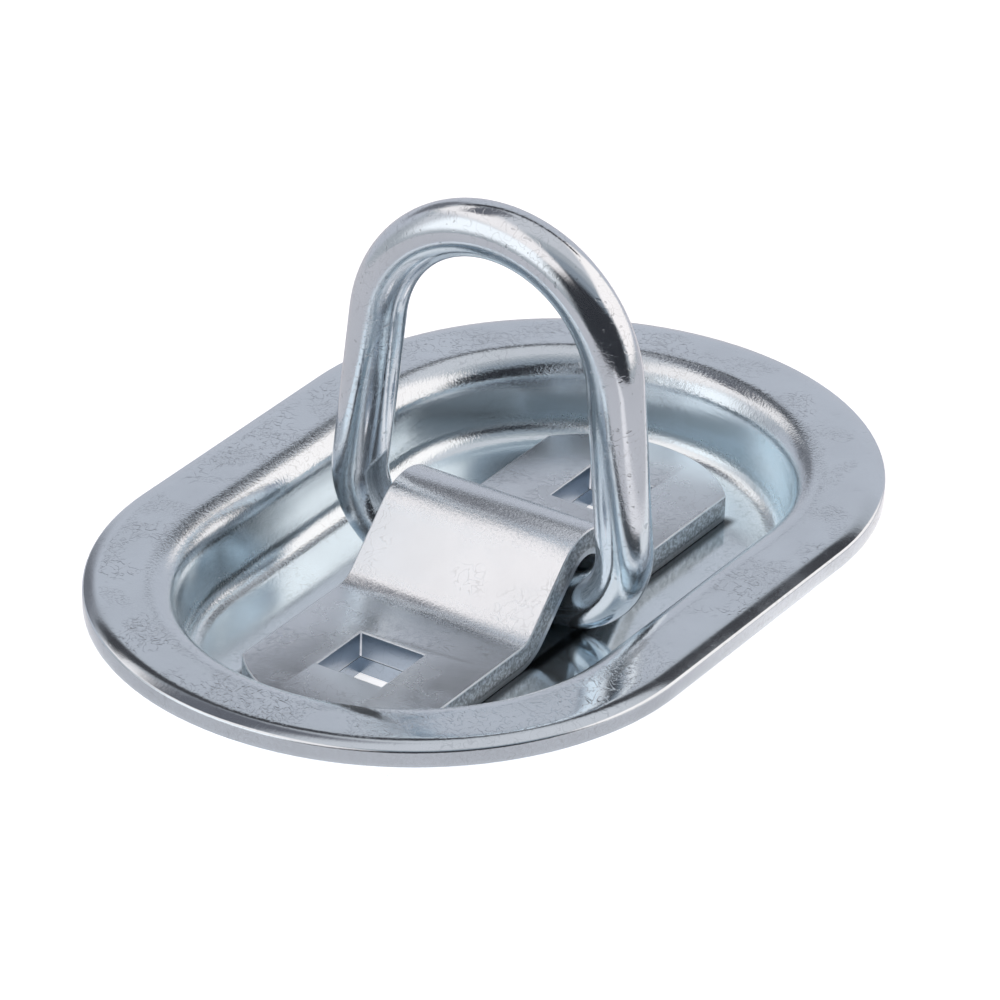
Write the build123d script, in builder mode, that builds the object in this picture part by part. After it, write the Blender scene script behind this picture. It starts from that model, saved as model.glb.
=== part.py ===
from build123d import *
import os
from math import acos, asin, atan2, cos, degrees, hypot, radians, sin, tan

# Recessed tie-down anchor, in millimetres. +Z is up, +X is along the pan and the strap.
# The origin is the middle of the pan's underside, on which the anchor stands.

# Lashing ring: one length of round bar bent into a D. Its sizes are on the bar's axis.
bar_d = 8.0
ring_reach = 52.5       # foot bar to the top of the crown
crown_r = 19.4          # bend of the crown
foot_half_w = 22.8      # middle to a leg, where the leg meets the foot bar's line
foot_bend_r = 10.0      # bend between the foot bar and a leg

# Strap: flat bar bent over the ring's foot bar
strap_t = 4.0
strap_w = 30.0
crest_bend_r = 4.0      # lower face, bend at the hump's crest
foot_rise_r = 4.5       # upper face, bends at the hump's two feet
hump_slope = 45.0       # slope of the hump's two sides
hump_offset = 1.2       # crest to the middle between the two square holes
tunnel_gap = 1.15       # foot bar to the nearer of the slopes over it
bar_lift = 0.2          # foot bar to the pan's floor
bolt_spacing = 58.0     # between the two square holes
bolt_square = 10.5      # takes the square neck of an M10 carriage bolt
hole_to_tip = 11.0      # edge of a square hole to the strap's tip
strap_end_r = 19.3      # rounding of the strap's ends, seen from above

# Pan: sheet pressed into an oval recess with a flange round it
sheet_t = 2.5
recess_depth = 12.5     # flange's top to the floor's top
wall_angle = 85.0       # wall to the floor
floor_bend_r = 2.5      # upper face, floor to wall
shoulder_r = 3.3        # upper face, wall to flange
ring_side_gap = 4.5     # ring's widest point to the foot of the wall
strap_end_gap = 6.4     # strap's tip to the foot of the wall
flange_w = 9.15         # end of the shoulder to the rim
rim_roll_w = 4.0        # outer part of the flange that droops
rim_roll_r = 20.0       # radius of that droop
rim_bevel = 0.6         # bevel of the rim's upper edge

# Heights
floor_z = sheet_t
flange_z = floor_z + recess_depth
hinge_z = floor_z + bar_lift + bar_d / 2

# The crown's arc and both foot bends are tangent to the legs, which gives the legs' lean
rise = ring_reach - crown_r
leg_lean = acos(crown_r / hypot(foot_half_w, rise)) - atan2(rise, foot_half_w)
lean_deg = degrees(leg_lean)
bend_y = foot_half_w - foot_bend_r * (1 + sin(leg_lean)) / cos(leg_lean)
ring_half_w = max(bend_y + foot_bend_r, crown_r) + bar_d / 2

# The hump's underside is two slopes, and the nearer one clears the foot bar by the tunnel's gap
slope = radians(hump_slope)
bar_room = bar_lift + bar_d / 2 + (bar_d / 2 + tunnel_gap) / cos(slope)
tunnel_top = bar_room + abs(hump_offset) * tan(slope)
tunnel_half_w = tunnel_top / tan(slope)
strap_l = bolt_spacing + bolt_square + 2 * hole_to_tip

# The recess is set by the ring's width and the strap's length. Its ends are half circles.
foot_y = ring_half_w + ring_side_gap
head_y = foot_y + recess_depth / tan(radians(wall_angle))
end_x = strap_l / 2 + strap_end_gap - foot_y
rim_y = head_y + shoulder_r * tan(radians(wall_angle) / 2) + flange_w
roll_angle = asin(rim_roll_w / rim_roll_r)
roll_y = rim_y - rim_roll_w + rim_roll_r * tan(roll_angle / 2)

os.makedirs("parts", exist_ok=True)

with BuildPart() as pan:
    # The sheet's section, from the middle of the floor to the upright cut at the rim
    with BuildSketch(Plane.YZ.offset(end_x)) as section:
        with BuildLine():
            FilletPolyline(
                (0, floor_z),
                (foot_y, floor_z),
                (head_y, flange_z),
                (roll_y, flange_z),
                (roll_y + rim_roll_w, flange_z - rim_roll_w * tan(roll_angle)),
                radius=(floor_bend_r, shoulder_r, rim_roll_r),
            )
            offset(amount=sheet_t, side=Side.RIGHT)
        make_face()
        Rectangle(rim_y, 2 * flange_z, align=(Align.MIN, Align.CENTER), mode=Mode.INTERSECT)
        chamfer(section.vertices().group_by(Axis.X)[-1].sort_by(Axis.Y)[-1], rim_bevel)
    extrude(amount=-end_x)
    revolve(section.sketch, axis=Axis((end_x, 0, 0), (0, 0, -1)), revolution_arc=90)
    mirror(about=Plane.XZ)
    mirror(about=Plane.YZ)
    with BuildSketch():
        with GridLocations(bolt_spacing, 0, 2, 1):
            Rectangle(bolt_square, bolt_square)
    extrude(amount=floor_z, mode=Mode.SUBTRACT)

with BuildPart() as strap:
    with BuildSketch(Plane.XZ):
        with BuildLine():
            FilletPolyline(
                (-strap_l / 2, floor_z),
                (hump_offset - tunnel_half_w, floor_z),
                (hump_offset, floor_z + tunnel_top),
                (hump_offset + tunnel_half_w, floor_z),
                (strap_l / 2, floor_z),
                radius=(foot_rise_r + strap_t, crest_bend_r, foot_rise_r + strap_t),
            )
            offset(amount=strap_t, side=Side.LEFT)
        make_face()
    extrude(amount=strap_w / 2, both=True)
    with BuildSketch(Plane.XY.offset(floor_z)):
        SlotOverall(strap_l, 2 * strap_end_r)
    extrude(amount=tunnel_top + 2 * strap_t, mode=Mode.INTERSECT)
    with BuildSketch(Plane.XY.offset(floor_z)):
        with GridLocations(bolt_spacing, 0, 2, 1):
            Rectangle(bolt_square, bolt_square)
    extrude(amount=strap_t, mode=Mode.SUBTRACT)

with BuildPart() as ring:
    # Half of the bar's axis, from under the strap round to the crown, and its mirror image
    with BuildLine(Plane.YZ):
        foot = Line((0, hinge_z), (bend_y, hinge_z))
        bend = CenterArc((bend_y, hinge_z + foot_bend_r), foot_bend_r, -90, 90 + lean_deg)
        crown = CenterArc((0, hinge_z + rise), crown_r, lean_deg, 90 - lean_deg)
        Line(bend @ 1, crown @ 0)
        mirror(about=Plane.XZ)
    with BuildSketch(Plane(origin=foot @ 0, z_dir=foot % 0)):
        Circle(bar_d / 2)
    sweep()

for name, piece in (("pan", pan), ("strap", strap), ("ring", ring)):
    piece.part.label = name
    export_step(piece.part, f"parts/{name}.step")

print(f"plate {2 * (end_x + rim_y):.1f} x {2 * rim_y:.1f}, legs lean {lean_deg:.2f} degrees")
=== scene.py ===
# %% [markdown]
# This scene dresses a recessed tie-down anchor: an oval pan pressed from sheet steel, a flat-bar
# strap bent over the middle of its floor, and a D-shaped lashing ring that swings under the strap.
# All three are bright zinc-plated steel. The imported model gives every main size, so the pieces are
# made in place and nothing has to be fitted afterwards.

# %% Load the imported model
import math

import bmesh
import bpy
from mathutils import Matrix, Vector
from mathutils.geometry import tessellate_polygon


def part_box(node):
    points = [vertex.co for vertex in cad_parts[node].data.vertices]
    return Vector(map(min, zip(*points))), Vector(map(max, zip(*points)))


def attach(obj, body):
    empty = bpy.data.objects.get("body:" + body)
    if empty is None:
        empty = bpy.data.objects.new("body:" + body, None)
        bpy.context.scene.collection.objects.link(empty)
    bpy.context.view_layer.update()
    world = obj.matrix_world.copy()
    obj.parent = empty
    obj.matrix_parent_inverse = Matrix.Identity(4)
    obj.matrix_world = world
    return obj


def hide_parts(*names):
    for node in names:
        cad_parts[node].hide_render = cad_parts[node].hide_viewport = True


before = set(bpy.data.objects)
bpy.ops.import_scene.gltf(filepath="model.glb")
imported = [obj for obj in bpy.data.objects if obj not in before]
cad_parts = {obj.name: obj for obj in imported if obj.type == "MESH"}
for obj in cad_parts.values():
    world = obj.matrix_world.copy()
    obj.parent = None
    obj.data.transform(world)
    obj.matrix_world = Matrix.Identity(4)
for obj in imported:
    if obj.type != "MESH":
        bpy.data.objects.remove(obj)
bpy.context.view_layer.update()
mm = 0.001
um = 0.000001

# %% Read the main sizes from the model
_, pan_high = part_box("pan")
strap_low, strap_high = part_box("strap")
ring_low, ring_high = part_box("ring")
rim_y = pan_high.y
end_x = pan_high.x - pan_high.y
flange_z = pan_high.z
floor_z = strap_low.z
strap_half_w = strap_high.y
strap_tip_x = strap_high.x
bar_r = ring_high.x
hinge_z = ring_low.z + bar_r
ring_reach = ring_high.z - bar_r - hinge_z
print(f"pan {2000 * pan_high.x:.1f} x {2000 * rim_y:.1f} mm, bar {2000 * bar_r:.1f} mm")

# %% [markdown]
# Sheet, strap and bar are all bent stock: straight runs joined by arcs. One helper draws such a
# line from its corners and bend radii, and a second one moves the corners sideways, which gives
# the other face of a sheet. Each point carries a 1 in a bend and a 0 on a straight, because
# bending stretches the steel and roughens it there.

# %% Lines with rounded corners
def rounded_path(corners, radii, closed=False, step=math.radians(5)):
    count = len(corners)
    inner = range(count) if closed else range(1, count - 1)
    points = [] if closed else [(*corners[0], 0.0)]
    for place, i in enumerate(inner):
        corner = Vector(corners[i])
        back = (Vector(corners[i - 1]) - corner).normalized()
        ahead = (Vector(corners[(i + 1) % count]) - corner).normalized()
        turn = math.pi - back.angle(ahead)
        reach = radii[place] * math.tan(turn / 2)
        middle = corner + (back + ahead).normalized() * radii[place] / math.cos(turn / 2)
        spoke = corner + back * reach - middle
        side = 1 if back.cross(ahead) < 0 else -1
        steps = max(2, math.ceil(turn / step))
        for k in range(steps + 1):
            spot = middle + Matrix.Rotation(side * turn * k / steps, 2) @ spoke
            if not points or (spot - Vector(points[-1][:2])).length > 1e-8:
                points.append((*spot, 1.0))
    if closed:
        if (Vector(points[0][:2]) - Vector(points[-1][:2])).length < 1e-8:
            points.pop()
    else:
        points.append((*corners[-1], 0.0))
    return points


def eased(points, ease):
    """Adds points near both ends of each straight run, so that a bend's mark fades within ease."""
    done = []
    for (x, y, bend), (next_x, next_y, _) in zip(points, points[1:]):
        done.append((x, y, bend))
        length = math.hypot(next_x - x, next_y - y)
        if length > 2.5 * ease:
            for share in (ease / length, 1 - ease / length):
                done.append((x + (next_x - x) * share, y + (next_y - y) * share, 0.0))
    return [*done, points[-1]]


def sideways(corners, distance):
    """The same corners moved to the left of the line by a distance."""
    runs = [(Vector(b) - Vector(a)).normalized() for a, b in zip(corners, corners[1:])]
    lefts = [Vector((-run.y, run.x)) for run in runs]
    lefts = [lefts[0], *lefts, lefts[-1]]
    moved = []
    for corner, before, after in zip(corners, lefts, lefts[1:]):
        moved.append(tuple(Vector(corner) + (before + after) * distance / (1 + before.dot(after))))
    return moved


# %% [markdown]
# A Geometry Nodes tree takes its curves from small wire objects. The wire's points carry
# attributes, such as the bend's grain, and the nodes hand these on to the surface that they make.
# A node helper keeps both kinds of tree short: a socket is linked, any other value is set.

# %% Wires, nodes and trees
def wire(name, points, closed, flat=True, **marks):
    """Points in the XY plane, or in YZ if not flat, joined into a line."""
    mesh = bpy.data.meshes.new(name)
    count = len(points)
    edges = [(i, i + 1) for i in range(count - 1)] + ([(count - 1, 0)] if closed else [])
    places = [(p[0], p[1], 0) if flat else (0, p[0], p[1]) for p in points]
    mesh.from_pydata(places, edges, [])
    for mark, values in marks.items():
        mesh.attributes.new(mark, "FLOAT", "POINT").data.foreach_set("value", values)
    return bpy.data.objects.new(name, mesh)


def node(tree, kind, feeds=None, **settings):
    made = tree.nodes.new(kind)
    for key, value in settings.items():
        setattr(made, key, value)
    for key, value in (feeds or {}).items():
        if isinstance(value, bpy.types.NodeSocket):
            tree.links.new(value, made.inputs[key])
        else:
            made.inputs[key].default_value = value
    return made


def geometry_tree(name, sockets):
    tree = bpy.data.node_groups.new(name, "GeometryNodeTree")
    for label, kind in sockets:
        tree.interface.new_socket(label, in_out="INPUT", socket_type="NodeSocket" + kind)
    tree.interface.new_socket("Geometry", in_out="OUTPUT", socket_type="NodeSocketGeometry")
    return tree, node(tree, "NodeGroupInput").outputs, node(tree, "NodeGroupOutput").inputs


# %% Run a tree and keep its result as a plain mesh
def made_by(tree, name, values):
    holder = bpy.data.objects.new(name, bpy.data.meshes.new(name))
    bpy.context.scene.collection.objects.link(holder)
    modifier = holder.modifiers.new(tree.name, "NODES")
    modifier.node_group = tree
    for socket in tree.interface.items_tree:
        if socket.in_out == "INPUT":
            modifier[socket.identifier] = values[socket.name]
    bpy.context.view_layer.update()
    solved = holder.evaluated_get(bpy.context.evaluated_depsgraph_get())
    plain = bpy.data.meshes.new_from_object(solved)
    holder.modifiers.clear()
    holder.data = plain
    return holder


def close_and_shade(piece, sharp=30):
    """Merges the seams, points the faces outwards, and shades smooth between sharp edges."""
    shell = bmesh.new()
    shell.from_mesh(piece.data)
    bmesh.ops.remove_doubles(shell, verts=shell.verts, dist=1e-6)
    bmesh.ops.recalc_face_normals(shell, faces=shell.faces)
    open_edges = sum(not edge.is_manifold for edge in shell.edges)
    shell.to_mesh(piece.data)
    volume = shell.calc_volume(signed=True)
    shell.free()
    piece.data.polygons.foreach_set("use_smooth", [True] * len(piece.data.polygons))
    piece.data.set_sharp_from_angle(angle=math.radians(sharp))
    triangles = sum(len(face.vertices) - 2 for face in piece.data.polygons)
    print(f"{piece.name}: {triangles} triangles, {open_edges} open edges, {volume * 1e9:.0f} mm3")


# %% [markdown]
# The finish is bright zinc plate on cold-bent steel. On the flat faces it is smooth, with short
# worm-like marks left by rolling and tumbling. In each bend the steel was stretched, so its grain
# stands out and breaks every reflection into specks. Sheared faces are dull and torn. Each kind of
# mark is mostly height, with some shade and roughness, and keeps to its place through an attribute
# that the mesh carries: grain for bends, cut for sheared faces, depth for how far down such a face
# a point lies, edge for the burred corners, and punched for the walls of the square holes. These
# walls are duller sheared steel, and they are painted darker and bluer too, as painted shade in
# the holes. Down in the recess the plate is painted lighter and bluer than on the flange, as
# painted light, and it is cleaner, because the marks keep to the flange, which takes the knocks.
# On the pan, dark reflections and a shadow line along the strap are painted in as well.

# %% Patterns that the finish is mixed from
rags_per_metre = 900.0
rag_reach = 1.4 * mm


def sum_up(tree, kind, a, b=0.0):
    return node(tree, "ShaderNodeMath", {0: a, 1: b}, operation=kind).outputs[0]


def fade(tree, value, start, end, low=0.0, high=1.0):
    """Low where the value is at start or before it, high at end or past it, soft between."""
    return node(tree, "ShaderNodeMapRange", {
        "Value": value, "From Min": start, "From Max": end, "To Min": low, "To Max": high},
        interpolation_type="SMOOTHSTEP").outputs["Result"]


def clouds(tree, place, size, detail=2.0, roughness=0.5, bend=0.0):
    """Noise with clouds about this size in metres."""
    return node(tree, "ShaderNodeTexNoise", {
        "Vector": place, "Scale": 1 / size, "Detail": detail, "Roughness": roughness,
        "Distortion": bend}).outputs["Fac"]


def worms(tree, place, size, width, patches, cover):
    """Thin wandering lines, the level lines of a noise, left only in some patches."""
    wander = clouds(tree, place, size, detail=1.0, bend=0.5)
    level = sum_up(tree, "ABSOLUTE", sum_up(tree, "SUBTRACT", wander, 0.5))
    here = fade(tree, clouds(tree, place, patches, detail=1.0), 0.62 - cover, 0.70 - cover)
    return sum_up(tree, "MULTIPLY", fade(tree, level, width, 0.0), here)


def mark(tree, name):
    return node(tree, "ShaderNodeAttribute", attribute_name=name).outputs["Fac"]


def added(tree, parts):
    """Sum of parts, each the product of its factors."""
    total = 0.0
    for factors in parts:
        product = factors[0]
        for factor in factors[1:]:
            product = sum_up(tree, "MULTIPLY", product, factor)
        total = sum_up(tree, "ADD", product, total)
    return total


def blot(tree, place, middle, half_length, half_width, turn=0.0):
    """A long soft spot: full in its middle, gone at its edge, with a ragged outline."""
    ragged = node(tree, "ShaderNodeTexNoise", {
        "Vector": place, "Scale": rags_per_metre, "Detail": 3.0})
    nudge = node(tree, "ShaderNodeVectorMath", {
        0: ragged.outputs["Color"], 1: (0.5, 0.5, 0.5)}, operation="SUBTRACT")
    nudge = node(tree, "ShaderNodeVectorMath", {
        0: nudge.outputs[0], "Scale": rag_reach}, operation="SCALE")
    moved = node(tree, "ShaderNodeVectorMath", {0: place, 1: nudge.outputs[0]})
    seat = node(tree, "ShaderNodeMapping", {
        "Vector": moved.outputs[0], "Location": middle, "Rotation": (0, 0, turn),
        "Scale": (half_length, half_width, half_width)}, vector_type="TEXTURE")
    far = node(tree, "ShaderNodeVectorMath", {0: seat.outputs[0]}, operation="LENGTH")
    return fade(tree, far.outputs["Value"], 1.0, 0.45)


# %% Zinc plate
metal_share = 0.93
satin_size = 14 * mm
shade_size = 9 * mm
peel_size = 2.6 * mm
grit_size = 0.38 * mm
tear_size = 0.45 * mm
pinhole_size = 0.8 * mm
peel_height = 2.5 * um
grit_height = 1.5 * um
grain_height = 38 * um
tear_height = 70 * um
recess_start_z = 14 * mm
recess_full_z = 9 * mm
hole_shade_blue = (0.66, 0.82, 1.0)
black = (0.0, 0.0, 0.0)


def zinc(name, colour, gloss, marks, tear=1.0, pits=0.0, painted_shading=None, painted_recess_light=None):
    """Bright zinc plate. Marks is the height of the worm-like marks and pits the depth of the
    pinholes, both in micrometres. Tear says how rough a sheared face is. The argument after pits
    draws painted shade: dark painted reflections and a painted shadow line. The last argument is
    the plate's colour down in a recess, painted lighter and bluer as painted light, and with it the
    marks keep to the flange's flat top."""
    material = bpy.data.materials.new(name)
    material.use_nodes = True
    tree = material.node_tree
    shader = tree.nodes["Principled BSDF"]
    shader.inputs["Metallic"].default_value = metal_share
    place = node(tree, "ShaderNodeTexCoord").outputs["Object"]
    bend, cut, depth, edge, punched = (
        mark(tree, part) for part in ("grain", "cut", "depth", "edge", "punched"))
    whole = sum_up(tree, "SUBTRACT", 1.0, cut)
    if painted_recess_light:
        up = node(tree, "ShaderNodeSeparateXYZ", {0: place}).outputs["Z"]
        low_down = fade(tree, up, recess_start_z, recess_full_z)
        on_top = fade(tree, up, flange_z - 0.03 * mm, flange_z - 0.002 * mm)
        whole = sum_up(tree, "MULTIPLY", whole, on_top)

    # Height: peel, grit and pinholes all over, more grit in the bends, worms off the sheared faces,
    # and torn steel on them
    peel = clouds(tree, place, peel_size, detail=3.0)
    grit = clouds(tree, place, grit_size, detail=2.0, roughness=0.6)
    specks = fade(tree, grit, 0.50, 0.62)
    long_worms = worms(tree, place, 1.5 * mm, 0.030, 11 * mm, 0.16)
    fine_worms = worms(tree, place, 0.8 * mm, 0.045, 7 * mm, 0.12)
    pinholes = fade(tree, clouds(tree, place, pinhole_size, detail=0.0), 0.25, 0.20)
    torn = clouds(tree, place, tear_size, detail=3.0, roughness=0.7)
    sheared = fade(tree, depth, 0.80, 0.70, 0.15, 1.0)
    height = added(tree, [
        (peel, peel_height), (grit, grit_height), (grit, bend, grain_height),
        (long_worms, whole, marks * um), (fine_worms, whole, -0.7 * marks * um),
        (torn, cut, sheared, tear_height * tear), (pinholes, -pits * um)])
    relief = node(tree, "ShaderNodeBump", {"Height": height, "Distance": 1.0, "Strength": 1.0})
    tree.links.new(relief.outputs["Normal"], shader.inputs["Normal"])

    # Roughness: satin patches on a gloss, duller on the sheared faces and burred edges
    satin = clouds(tree, place, satin_size, detail=5.0, roughness=0.6)
    satin = fade(tree, satin, 0.35, 0.7, -0.03, 0.05)
    rough = added(tree, [
        (satin, 1.0), (cut, 0.10 + 0.06 * tear), (punched, 0.12), (edge, 0.20), (bend, specks, 0.07)])
    rough = sum_up(tree, "ADD", rough, gloss)

    # Colour: the plate, a little darker in the marks, darker still where it is torn, and darker and
    # bluer on the punched walls, as duller steel with painted shade
    shade = fade(tree, clouds(tree, place, shade_size, detail=4.0), 0.3, 0.7, 0.95, 1.0)
    shade = sum_up(tree, "SUBTRACT", shade, sum_up(tree, "MULTIPLY", long_worms, 0.12))
    shade = sum_up(tree, "SUBTRACT", shade, sum_up(tree, "MULTIPLY", pinholes, 0.015 * pits))
    dull_and_hole_shade = sum_up(tree, "MULTIPLY", cut, fade(tree, torn, 0.38, 0.66, 0.62 * tear, 0.14 * tear))
    dull_and_hole_shade = sum_up(tree, "MULTIPLY", dull_and_hole_shade, sheared)
    # Punched walls: duller sheared steel, and painted darker for the shade in the holes
    dull_and_hole_shade = sum_up(tree, "MAXIMUM", dull_and_hole_shade, sum_up(tree, "MULTIPLY", punched, 0.52))
    shade = sum_up(tree, "MULTIPLY", shade, sum_up(tree, "SUBTRACT", 1.0, dull_and_hole_shade))
    # Painted shade: dark reflections and a shadow line make the plate darker and a little rougher
    if painted_shading:
        painted_dark = painted_shading(tree, place)
        shade = sum_up(tree, "MULTIPLY", shade, sum_up(tree, "SUBTRACT", 1.0, painted_dark))
        rough = sum_up(tree, "ADD", rough, sum_up(tree, "MULTIPLY", painted_dark, 0.12))
    plate = (*colour, 1)
    # Painted light: down in the recess the plate is painted lighter and bluer
    if painted_recess_light:
        plate = node(tree, "ShaderNodeMix", {0: low_down, 6: plate, 7: (*painted_recess_light, 1)},
                     data_type="RGBA").outputs[2]
        walls = sum_up(tree, "MULTIPLY", low_down, fade(
            tree, up, floor_z + 0.3 * mm, floor_z + 2 * mm, 0.01, 0.10))
        rough = sum_up(tree, "ADD", rough, walls)
    # Painted shade: the punched walls tinted blue for the holes' shade
    steel = node(tree, "ShaderNodeMix", {0: punched, 6: plate, 7: (*hole_shade_blue, 1)},
                 data_type="RGBA").outputs[2]
    tinted = node(tree, "ShaderNodeMix", {0: shade, 6: (*black, 1), 7: steel},
                  data_type="RGBA")
    tree.links.new(tinted.outputs[2], shader.inputs["Base Color"])
    tree.links.new(rough, shader.inputs["Roughness"])
    return material


def pan_painted_shading(tree, place):
    """Painted shade on the pan: two painted dark reflections, a streak at the flange's inner edge and
    one across the flange, and a painted shadow line on the floor along both sides of the strap."""
    # Painted dark reflections: a streak at the flange's inner edge and one across the flange
    painted_edge_reflection = blot(tree, place, (-52.6 * mm, -13.4 * mm, flange_z), 6.6 * mm, 1.4 * mm, math.radians(88))
    painted_flange_reflection = blot(tree, place, (-21 * mm, -36 * mm, flange_z), 9 * mm, 0.7 * mm, math.radians(9))
    spot = node(tree, "ShaderNodeSeparateXYZ", {0: place}).outputs
    off_y = sum_up(tree, "ABSOLUTE", spot["Y"])
    off_x = sum_up(tree, "ABSOLUTE", spot["X"])
    # Painted shadow: a dark line on the floor along both sides of the strap
    painted_shadow_line = added(tree, [(
        fade(tree, off_y, strap_half_w + 2.0 * mm, strap_half_w + 0.6 * mm),
        fade(tree, off_y, strap_half_w - 1.0 * mm, strap_half_w - 0.2 * mm),
        fade(tree, off_x, strap_tip_x - 5.5 * mm, strap_tip_x - 7.5 * mm),
        fade(tree, spot["Z"], floor_z + 1.0 * mm, floor_z + 0.5 * mm), 0.9)])
    return added(tree, [(painted_edge_reflection, 0.85), (painted_flange_reflection, 0.35), (painted_shadow_line, 1.0)])


# The pan takes painted dark reflections and a shadow line, and a lighter, bluer painted recess
zinc_pan = zinc("zinc_pan", (0.76, 0.84, 0.90), 0.11, 13, tear=0.15, pits=2, painted_shading=pan_painted_shading,
                painted_recess_light=(0.82, 0.92, 0.98))
zinc_strap = zinc("zinc_strap", (0.80, 0.87, 0.93), 0.25, 8)
zinc_ring = zinc("zinc_ring", (0.77, 0.84, 0.90), 0.11, 5, pits=14)
print("finishes", zinc_pan.name, zinc_strap.name, zinc_ring.name)

# %% [markdown]
# The pan is one pressed sheet, so its section is the same all the way round: a flat floor, a
# steep wall, a round shoulder, a flange and a rim that droops a little. The section is drawn once
# and swept along an oval. The floor inside the oval is a filled outline with its two square holes,
# and the sweep and the two faces of the floor are merged into one closed shell.

# %% The pan's section
sheet_t = floor_z
wall_angle = math.radians(86)
floor_bend_r = 3.1 * mm
shoulder_r = 4.2 * mm
flange_w = 8.8 * mm
droop_w = 3.6 * mm
droop_r = 11.0 * mm
droop_bend_r = 5.5 * mm
rim_edge_r = 0.5 * mm
burr_r = 0.25 * mm

head_y = rim_y - flange_w - shoulder_r * math.tan(wall_angle / 2)
foot_y = head_y - (flange_z - floor_z) / math.tan(wall_angle)
droop = math.asin(droop_w / droop_r)
droop_y = rim_y - droop_w + droop_r * math.tan(droop / 2)
inside_y = foot_y - floor_bend_r - sheet_t
rim_top_z = flange_z - (rim_y - droop_y) * math.tan(droop)

upper = [(inside_y, floor_z), (foot_y, floor_z), (head_y, flange_z), (droop_y, flange_z),
         (rim_y, rim_top_z)]
under = sideways(upper, -sheet_t)
past = under[-1][0] - rim_y
under[-1] = (rim_y, under[-1][1] + past * math.tan(droop))
radii = [floor_bend_r, shoulder_r, droop_bend_r]
under_radii = [floor_bend_r + sheet_t, *(r - sheet_t for r in radii[1:])]
section = rounded_path(upper + under[::-1], [*radii, rim_edge_r, burr_r, *under_radii[::-1]])
section = eased(section, 1.3 * mm)
print(f"section of {len(section)} points, wall foot at {foot_y * 1000:.2f} mm")

# %% Marks along the section: bend grain, the sheared rim, and depth below the upper face
at_rim = [p[0] > rim_y - 0.05 * mm for p in section]
rim_low_z = under[-1][1]
pan_grain = [p[2] if p[0] < droop_y - 3 * mm else 0.1 * p[2] for p in section]
pan_cut = [1.0 if here else 0.0 for here in at_rim]
pan_depth = [(rim_top_z - p[1]) / (rim_top_z - rim_low_z) if here else 0.0
             for p, here in zip(section, at_rim)]
profile = [(y - inside_y, -z, bend) for y, z, bend in section]
oval_half = end_x + inside_y
oval = rounded_path(
    [(-oval_half, -inside_y), (oval_half, -inside_y), (oval_half, inside_y), (-oval_half, inside_y)],
    [inside_y] * 4, closed=True, step=math.radians(3))
print(f"oval of {len(oval)} points")

# %% The tree that presses the pan
bolt_spacing = 58.0 * mm
bolt_square = 10.5 * mm

pan_tree, pan_in, pan_out = geometry_tree("pressed_pan", [
    ("Oval", "Object"), ("Section", "Object"), ("Floor", "Float"),
    ("Bolt spacing", "Float"), ("Bolt square", "Float"), ("Finish", "Material")])


def as_curve(tree, source):
    shape = node(tree, "GeometryNodeObjectInfo", {"Object": source})
    return node(tree, "GeometryNodeMeshToCurve", {"Mesh": shape.outputs["Geometry"]}).outputs[0]


def shifted(tree, shape, x=0.0, z=0.0):
    place = node(tree, "ShaderNodeCombineXYZ", {"X": x, "Z": z})
    return node(tree, "GeometryNodeTransform", {
        "Geometry": shape, "Translation": place.outputs[0]}).outputs[0]


oval_curve = as_curve(pan_tree, pan_in["Oval"])
upright = node(pan_tree, "GeometryNodeSetCurveNormal", {"Curve": oval_curve}, mode="Z_UP")
skin = node(pan_tree, "GeometryNodeCurveToMesh", {
    "Curve": upright.outputs[0], "Profile Curve": as_curve(pan_tree, pan_in["Section"])})
half_way = node(pan_tree, "ShaderNodeMath", {0: pan_in["Bolt spacing"], 1: 0.5}, operation="MULTIPLY")
other_way = node(pan_tree, "ShaderNodeMath", {0: half_way.outputs[0], 1: -1.0}, operation="MULTIPLY")
square = node(pan_tree, "GeometryNodeCurvePrimitiveQuadrilateral", {
    "Width": pan_in["Bolt square"], "Height": pan_in["Bolt square"]})
holes = node(pan_tree, "GeometryNodeJoinGeometry")
for way in (half_way, other_way):
    pan_tree.links.new(shifted(pan_tree, square.outputs[0], x=way.outputs[0]), holes.inputs[0])
outline = node(pan_tree, "GeometryNodeJoinGeometry", {0: oval_curve})
pan_tree.links.new(holes.outputs[0], outline.inputs[0])
plate = node(pan_tree, "GeometryNodeFillCurve", {"Curve": outline.outputs[0]})
top_plate = shifted(pan_tree, plate.outputs[0], z=pan_in["Floor"])
low_plate = node(pan_tree, "GeometryNodeFlipFaces", {"Mesh": plate.outputs[0]})
drop_end = node(pan_tree, "ShaderNodeCombineXYZ", {"Z": pan_in["Floor"]})
extruded = node(pan_tree, "GeometryNodeExtrudeMesh", {
    "Mesh": node(pan_tree, "GeometryNodeCurveToMesh", {"Curve": holes.outputs[0]}).outputs[0],
    "Offset": drop_end.outputs[0]}, mode="EDGES")
punched = node(pan_tree, "GeometryNodeStoreNamedAttribute", {
    "Geometry": extruded.outputs["Mesh"], "Name": "punched", "Value": 1.0},
    data_type="FLOAT", domain="FACE")
whole = node(pan_tree, "GeometryNodeJoinGeometry", {0: skin.outputs[0]})
for part in (top_plate, low_plate.outputs[0], punched.outputs[0]):
    pan_tree.links.new(part, whole.inputs[0])
merged = node(pan_tree, "GeometryNodeMergeByDistance", {"Geometry": whole.outputs[0], "Distance": 1e-6})
real = node(pan_tree, "GeometryNodeRealizeInstances", {"Geometry": merged.outputs[0]})
coated = node(pan_tree, "GeometryNodeSetMaterial", {
    "Geometry": real.outputs[0], "Material": pan_in["Finish"]})
pan_tree.links.new(coated.outputs[0], pan_out[0])

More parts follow.
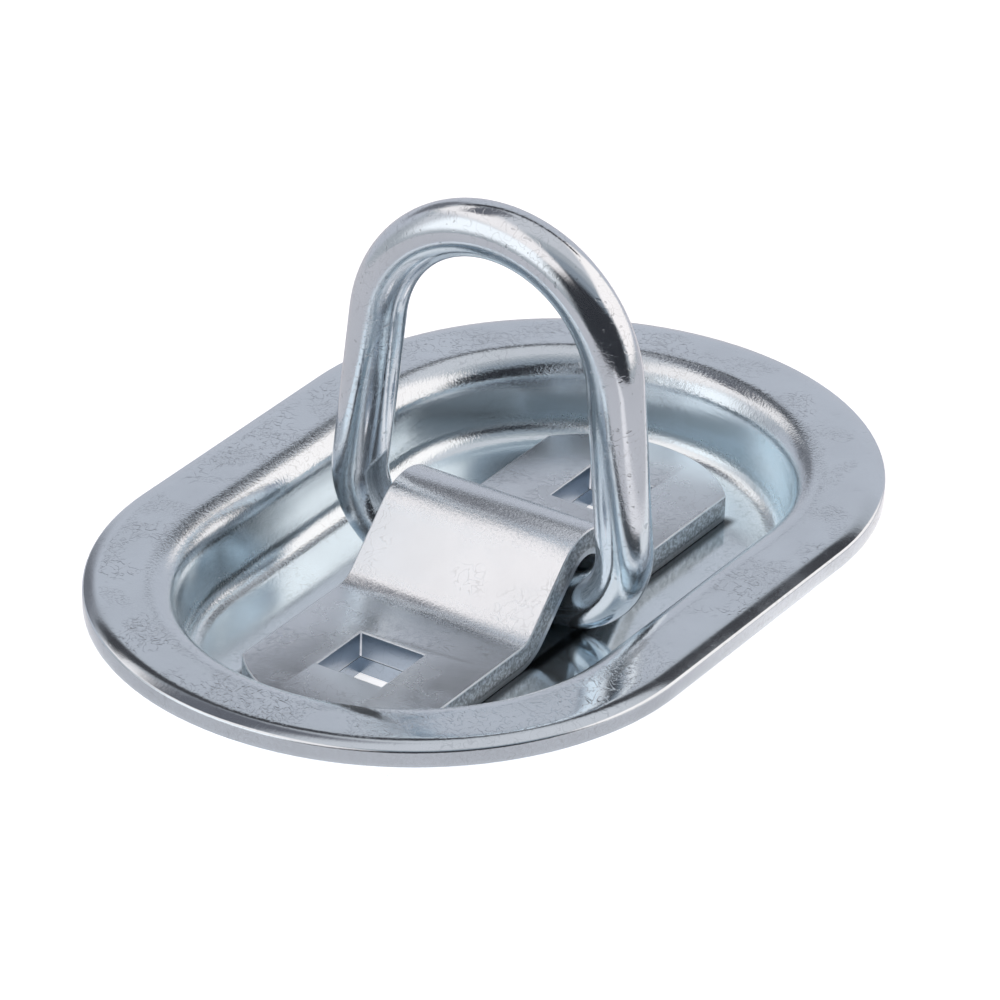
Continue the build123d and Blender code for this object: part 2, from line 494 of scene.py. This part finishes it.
# %% Press it
pan_shell = made_by(pan_tree, "pan_shell", {
    "Oval": wire("oval", oval, closed=True),
    "Section": wire("section", profile, closed=False, grain=pan_grain, cut=pan_cut, depth=pan_depth),
    "Floor": floor_z, "Bolt spacing": bolt_spacing, "Bolt square": bolt_square, "Finish": zinc_pan})
close_and_shade(pan_shell)
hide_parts("pan")
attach(pan_shell, "base")

# %% [markdown]
# The ring is one length of round bar bent into a D and swept along its axis. Its crown is narrower
# than its foot, so the legs lean inwards: each runs straight from its foot bend to the crown's arc.

# %% The ring's axis
foot_half_w = 22.8 * mm
foot_bend_r = 10.0 * mm
crown_r = 19.4 * mm
rise = ring_reach - crown_r
lean = math.acos(crown_r / math.hypot(foot_half_w, rise)) - math.atan2(rise, foot_half_w)
apex_z = hinge_z + foot_half_w / math.tan(lean)
ring_axis = rounded_path(
    [(-foot_half_w, hinge_z), (foot_half_w, hinge_z), (0, apex_z)],
    [foot_bend_r, foot_bend_r, crown_r], closed=True, step=math.radians(3))
ring_grain = [0.30 if p[1] < hinge_z + foot_bend_r else 0.12 for p in ring_axis]

ring_tree, ring_in, ring_out = geometry_tree("bent_bar", [
    ("Axis", "Object"), ("Bar radius", "Float"), ("Sides", "Int"), ("Finish", "Material")])
circle = node(ring_tree, "GeometryNodeCurvePrimitiveCircle", {
    "Resolution": ring_in["Sides"], "Radius": ring_in["Bar radius"]})
bar = node(ring_tree, "GeometryNodeCurveToMesh", {
    "Curve": as_curve(ring_tree, ring_in["Axis"]), "Profile Curve": circle.outputs[0]})
bar_real = node(ring_tree, "GeometryNodeRealizeInstances", {"Geometry": bar.outputs[0]})
bar_coated = node(ring_tree, "GeometryNodeSetMaterial", {
    "Geometry": bar_real.outputs[0], "Material": ring_in["Finish"]})
ring_tree.links.new(bar_coated.outputs[0], ring_out[0])

# %% Bend it
ring_bar = made_by(ring_tree, "ring_bar", {
    "Axis": wire("ring_axis", ring_axis, closed=True, flat=False, grain=ring_grain),
    "Bar radius": bar_r, "Sides": 56, "Finish": zinc_ring})
close_and_shade(ring_bar)
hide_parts("ring")
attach(ring_bar, "ring")

# %% [markdown]
# The strap is flat bar. Its middle is bent up into a hump over the ring's foot bar, and its two
# ends lie flat, rounded in plan and punched square for the bolts. The bent middle is a row of
# cross lines along the bend, and each end is a filled outline. Mesh code is the shortest way
# here, because the two kinds of surface meet in a straight line across the bar.

# %% The strap's bend
strap_t = 4.0 * mm
crest_bend_r = 4.0 * mm
foot_rise_r = 4.5 * mm
hump_slope = math.radians(45)
hump_offset = 1.2 * mm
edge_bevel = 0.22 * mm
strap_end_r = 19.3 * mm
strap_z = floor_z + strap_t
tunnel_top = strap_high.z - floor_z - strap_t / math.cos(hump_slope)
tunnel_top += (crest_bend_r + strap_t) * (1 / math.cos(hump_slope) - 1)
tunnel_half_w = tunnel_top / math.tan(hump_slope)
seam_x = (bolt_spacing - bolt_square) / 2 - 2 * mm
bend_corners = [(-seam_x, floor_z), (hump_offset - tunnel_half_w, floor_z),
                (hump_offset, floor_z + tunnel_top), (hump_offset + tunnel_half_w, floor_z),
                (seam_x, floor_z)]
foot_under_r = foot_rise_r + strap_t
crest_over_r = crest_bend_r + strap_t
belly = rounded_path(bend_corners, [foot_under_r, crest_bend_r, foot_under_r], step=math.radians(4))
back = rounded_path(sideways(bend_corners, strap_t), [foot_rise_r, crest_over_r, foot_rise_r],
                    step=math.radians(4))
belly, back = eased(belly, 1.2 * mm), eased(back, 1.2 * mm)
print(f"tunnel {tunnel_top * 1000:.2f} mm high, {len(belly)} cross lines")

# %% The end plates' outline
tip_centre = strap_tip_x - strap_end_r
corner_turn = math.asin(strap_half_w / strap_end_r)
tip_arc = [(tip_centre + strap_end_r * math.cos(a), strap_end_r * math.sin(a))
           for a in (corner_turn * (k / 14 - 1) for k in range(29))]
end_outline = [(seam_x, -strap_half_w), *tip_arc, (seam_x, strap_half_w)]
half = bolt_square / 2
hole_x = bolt_spacing / 2
hole_outline = [(hole_x - half, -half), (hole_x - half, half), (hole_x + half, half),
                (hole_x + half, -half)]

# %% Join middle and ends, and ease the edges
strap_shell = bmesh.new()
cut_mark = strap_shell.faces.layers.float.new("cut")
depth_mark = strap_shell.verts.layers.float.new("depth")
grain_mark = strap_shell.verts.layers.float.new("grain")
edge_mark = strap_shell.faces.layers.float.new("edge")
punched_mark = strap_shell.faces.layers.float.new("punched")


def strap_point(x, y, z, depth, grain=0.0):
    point = strap_shell.verts.new((x, y, z))
    point[depth_mark] = depth
    point[grain_mark] = grain
    return point


def strap_face(points, cut=0.0, punched=0.0):
    face = strap_shell.faces.new(points)
    face[cut_mark] = cut
    face[punched_mark] = punched


lines = [[strap_point(p[0], y, p[1], depth, p[2]) for p, depth in ((low, 1.0), (high, 0.0))
          for y in (-strap_half_w, strap_half_w)] for low, high in zip(belly, back)]
for a, b in zip(lines, lines[1:]):
    strap_face((a[0], a[1], b[1], b[0]))
    strap_face((a[2], b[2], b[3], a[3]))
    strap_face((a[0], b[0], b[2], a[2]), 1.0)
    strap_face((a[1], a[3], b[3], b[1]), 1.0)
for way in (1, -1):
    rings = {}
    for depth, z in ((0.0, strap_z), (1.0, floor_z)):
        loops = [[strap_point(way * x, y, z, depth) for x, y in loop]
                 for loop in (end_outline, hole_outline)]
        rings[depth] = loops
        flat = loops[0] + loops[1]
        plan = [[Vector((x, y, 0)) for x, y in loop] for loop in (end_outline, hole_outline)]
        for triangle in tessellate_polygon(plan):
            strap_face([flat[i] for i in triangle])
    for loop_top, loop_low, closed in (
            (rings[0.0][0], rings[1.0][0], False), (rings[0.0][1], rings[1.0][1], True)):
        for i in range(len(loop_top) if closed else len(loop_top) - 1):
            j = (i + 1) % len(loop_top)
            strap_face((loop_top[i], loop_top[j], loop_low[j], loop_low[i]),
                       0.0 if closed else 1.0, 1.0 if closed else 0.0)
bmesh.ops.remove_doubles(strap_shell, verts=strap_shell.verts, dist=1e-6)
bmesh.ops.recalc_face_normals(strap_shell, faces=strap_shell.faces)
edges = [e for e in strap_shell.edges if e.is_manifold and e.calc_face_angle() > math.radians(35)]
bevelled = bmesh.ops.bevel(strap_shell, geom=edges, offset=edge_bevel, segments=3, profile=0.5,
                           affect="EDGES")
for face in bevelled["faces"]:
    face[edge_mark] = 1.0
    face[cut_mark] = 0.0
    face[punched_mark] = 0.0
strap_bar = bpy.data.objects.new("strap_bar", bpy.data.meshes.new("strap_bar"))
strap_shell.to_mesh(strap_bar.data)
strap_shell.free()
bpy.context.scene.collection.objects.link(strap_bar)
strap_bar.data.materials.append(zinc_strap)
close_and_shade(strap_bar)
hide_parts("strap")
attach(strap_bar, "base")

# %% [markdown]
# The camera stands where the photograph was taken from: low, nearly a metre away and behind a
# long lens. Its place was found by laying the model's outline over the photograph's.

# %% Camera
camera_azimuth = math.radians(-57.5728)
camera_height = math.radians(29.1262)
camera_roll = math.radians(1.8057)
camera_distance = 977.5842 * mm
lens_pixels = 7068.8707
photo_pixels = 1000
sensor = 36.0
aim = Vector((5.2615 * mm, 1.9315 * mm, 15 * mm))

backward = Vector((math.sin(camera_azimuth) * math.cos(camera_height),
                   -math.cos(camera_azimuth) * math.cos(camera_height), math.sin(camera_height)))
level = (-backward).cross(Vector((0, 0, 1))).normalized()
upward = level.cross(-backward)
across = level * math.cos(camera_roll) + upward * math.sin(camera_roll)
over = upward * math.cos(camera_roll) - level * math.sin(camera_roll)
camera = bpy.data.objects.new("camera", bpy.data.cameras.new("camera"))
camera.data.sensor_width = sensor
camera.data.lens = sensor * lens_pixels / photo_pixels
camera.data.clip_end = 20
turned = Matrix((across, over, backward)).transposed().to_4x4()
camera.matrix_world = Matrix.Translation(aim + backward * camera_distance) @ turned
bpy.context.scene.collection.objects.link(camera)
bpy.context.scene.camera = camera
print(f"lens {camera.data.lens:.1f} mm")

# %% [markdown]
# Bare metal shows its surroundings, so the studio is drawn with care. Each soft card is a patch of
# the sky round the anchor: it has a direction, a width and a height, and a soft edge. Directions
# are given from the camera's own heading, to the left and up, in degrees.

# %% Studio cards
ahead = Vector((-backward.x, -backward.y, 0)).normalized()
leftward = Vector((-ahead.y, ahead.x, 0))


def heading(left, up):
    flat = ahead * math.cos(left) + leftward * math.sin(left)
    return flat * math.cos(up) + Vector((0, 0, math.sin(up)))


card_tree = bpy.data.node_groups.new("soft_card", "ShaderNodeTree")
for label, kind in (("Direction", "Vector"), ("Below", "Color"), ("Colour", "Color"),
                    ("Facing", "Vector"), ("Across", "Vector"), ("Upward", "Vector"),
                    ("Half width", "Float"), ("Half height", "Float"), ("Edge", "Float")):
    card_tree.interface.new_socket(label, in_out="INPUT", socket_type="NodeSocket" + kind)
card_tree.interface.new_socket("Colour", in_out="OUTPUT", socket_type="NodeSocketColor")
card_in = node(card_tree, "NodeGroupInput").outputs
card_out = node(card_tree, "NodeGroupOutput").inputs


def along(axis):
    return node(card_tree, "ShaderNodeVectorMath", {
        0: card_in["Direction"], 1: card_in[axis]}, operation="DOT_PRODUCT").outputs["Value"]


def inside(axis, half_size):
    angle = node(card_tree, "ShaderNodeMath", {
        0: along(axis), 1: along("Facing")}, operation="ARCTAN2")
    size = node(card_tree, "ShaderNodeMath", {0: angle.outputs[0]}, operation="ABSOLUTE")
    outer = node(card_tree, "ShaderNodeMath", {0: card_in[half_size], 1: card_in["Edge"]})
    inner = node(card_tree, "ShaderNodeMath", {
        0: card_in[half_size], 1: card_in["Edge"]}, operation="SUBTRACT")
    return node(card_tree, "ShaderNodeMapRange", {
        "Value": size.outputs[0], "From Min": outer.outputs[0], "From Max": inner.outputs[0]},
        interpolation_type="SMOOTHSTEP").outputs["Result"]


both = node(card_tree, "ShaderNodeMath", {
    0: inside("Across", "Half width"), 1: inside("Upward", "Half height")}, operation="MULTIPLY")
lay = node(card_tree, "ShaderNodeMix", {0: both.outputs[0], 6: card_in["Below"], 7: card_in["Colour"]},
           data_type="RGBA")
card_tree.links.new(lay.outputs[2], card_out[0])

# %% World: white to the camera, the studio's cards to everything else
studio = [
    # left, up, half width, half height, edge, colour
    (0, 8, 64, 27, 8, (0.56, 0.56, 0.61)),  # the room ahead
    (0, 72, 180, 24, 5, (0.68, 0.66, 0.68)),  # the ceiling
    (-168, 12, 52, 42, 8, (0.010, 0.012, 0.018)),  # the dark room behind the camera
    (180, 57, 60, 10, 7, (0.28, 0.31, 0.35)),  # its dim ceiling
    (117, 20, 27, 20, 8, (1.22, 1.20, 1.20)),  # a bright wall, left and behind
    (100, 56, 48, 16, 7, (1.14, 1.03, 0.99)),  # a softbox, high on the left
    (-74, 22, 35, 26, 5, (1.26, 1.13, 1.07)),  # a softbox, low on the right
    (30, 20, 12, 11, 5, (0.16, 0.16, 0.18)),  # three dark flags ahead, for the lines along bends
    (37, 55, 18, 9, 4, (0.12, 0.12, 0.14)),
    (-8, 41.5, 30, 5.0, 1.2, (0.022, 0.022, 0.028)),
]
world = bpy.data.worlds.new("studio")
world.use_nodes = True
bpy.context.scene.world = world
bare_sky = (0.45, 0.46, 0.48)
sky = world.node_tree
sky.nodes.clear()
look = node(sky, "ShaderNodeTexCoord").outputs["Generated"]
layer = node(sky, "ShaderNodeRGB").outputs[0]
layer.default_value = (*bare_sky, 1)
for left, up, half_w, half_h, edge, colour in studio:
    facing = heading(math.radians(left), math.radians(up))
    sideward = Vector((0, 0, 1)).cross(facing).normalized()
    card = node(sky, "ShaderNodeGroup", node_tree=card_tree)
    sky.links.new(look, card.inputs["Direction"])
    sky.links.new(layer, card.inputs["Below"])
    card.inputs["Colour"].default_value = (*colour, 1)
    card.inputs["Facing"].default_value = facing
    card.inputs["Across"].default_value = sideward
    card.inputs["Upward"].default_value = facing.cross(sideward)
    card.inputs["Half width"].default_value = math.radians(half_w)
    card.inputs["Half height"].default_value = math.radians(half_h)
    card.inputs["Edge"].default_value = math.radians(edge)
    layer = card.outputs[0]
light_path = node(sky, "ShaderNodeLightPath").outputs
seen = node(sky, "ShaderNodeMix", {0: light_path["Is Camera Ray"], 6: layer, 7: (1, 1, 1, 1)},
            data_type="RGBA")
glow = node(sky, "ShaderNodeBackground", {"Color": seen.outputs[2]})
node(sky, "ShaderNodeOutputWorld", {"Surface": glow.outputs[0]})
print(f"studio of {len(studio)} cards")

# %% [markdown]
# The floor is a plain white sheet. Part of its white is its own, so that the background and the
# metal's reflection of it stay white, and the rest is lit, so that it keeps the shadow.

# %% Floor
floor_half = 250 * mm
paper_colour = (0.82, 0.83, 0.87)
warm_white = (1.22, 1.09, 1.02)
white = (1.0, 1.0, 1.0)
strip_side = (0.5, -0.866, 0)
floor = bpy.data.objects.new("floor", bpy.data.meshes.new("floor"))
floor.data.from_pydata(
    [(-floor_half, -floor_half, 0), (floor_half, -floor_half, 0), (floor_half, floor_half, 0),
     (-floor_half, floor_half, 0)], [], [(0, 1, 2, 3)])
paper = bpy.data.materials.new("paper")
paper.use_nodes = True
paper_tree = paper.node_tree
paper_tree.nodes.clear()
rays = node(paper_tree, "ShaderNodeLightPath").outputs
glossy_ray, camera_ray = rays["Is Glossy Ray"], rays["Is Camera Ray"]
sheet_place = node(paper_tree, "ShaderNodeTexCoord").outputs["Object"]
spot = node(paper_tree, "ShaderNodeSeparateXYZ", {0: sheet_place}).outputs
past_end = sum_up(paper_tree, "SUBTRACT", sum_up(paper_tree, "ABSOLUTE", spot[0]), end_x)
away = node(paper_tree, "ShaderNodeCombineXYZ", {
    "X": sum_up(paper_tree, "MAXIMUM", past_end, 0.0), "Y": spot[1]})
reach = node(paper_tree, "ShaderNodeVectorMath", {
    0: away.outputs[0]}, operation="LENGTH").outputs["Value"]
rightward = node(paper_tree, "ShaderNodeVectorMath", {
    0: sheet_place, 1: strip_side}, operation="DOT_PRODUCT").outputs["Value"]

# Metal sees the paper glow white under the anchor and in a strip to its right, and greyer paper
# elsewhere; the glow shows only in reflections
under_anchor = fade(paper_tree, reach, rim_y, rim_y + 14 * mm, 0.85, 0.05)
strip_start = fade(paper_tree, rightward, rim_y + 4 * mm, rim_y + 18 * mm, 0.0, 0.3)
strip_end = fade(paper_tree, rightward, rim_y + 46 * mm, rim_y + 34 * mm)
own_white = added(paper_tree, [
    (under_anchor, glossy_ray), (strip_start, strip_end, glossy_ray), (camera_ray, 0.7)])
tint = node(paper_tree, "ShaderNodeMix", {
    0: camera_ray, 6: (*warm_white, 1), 7: (*white, 1)}, data_type="RGBA")
matt = node(paper_tree, "ShaderNodeBsdfDiffuse", {"Color": (*paper_colour, 1)})
shine = node(paper_tree, "ShaderNodeEmission", {"Color": tint.outputs[2], "Strength": own_white})
sheet = node(paper_tree, "ShaderNodeAddShader", {0: matt.outputs[0], 1: shine.outputs[0]})
node(paper_tree, "ShaderNodeOutputMaterial", {"Surface": sheet.outputs[0]})
floor.data.materials.append(paper)
bpy.context.scene.collection.objects.link(floor)

# %% Settings
bpy.context.scene.view_settings.view_transform = "Standard"
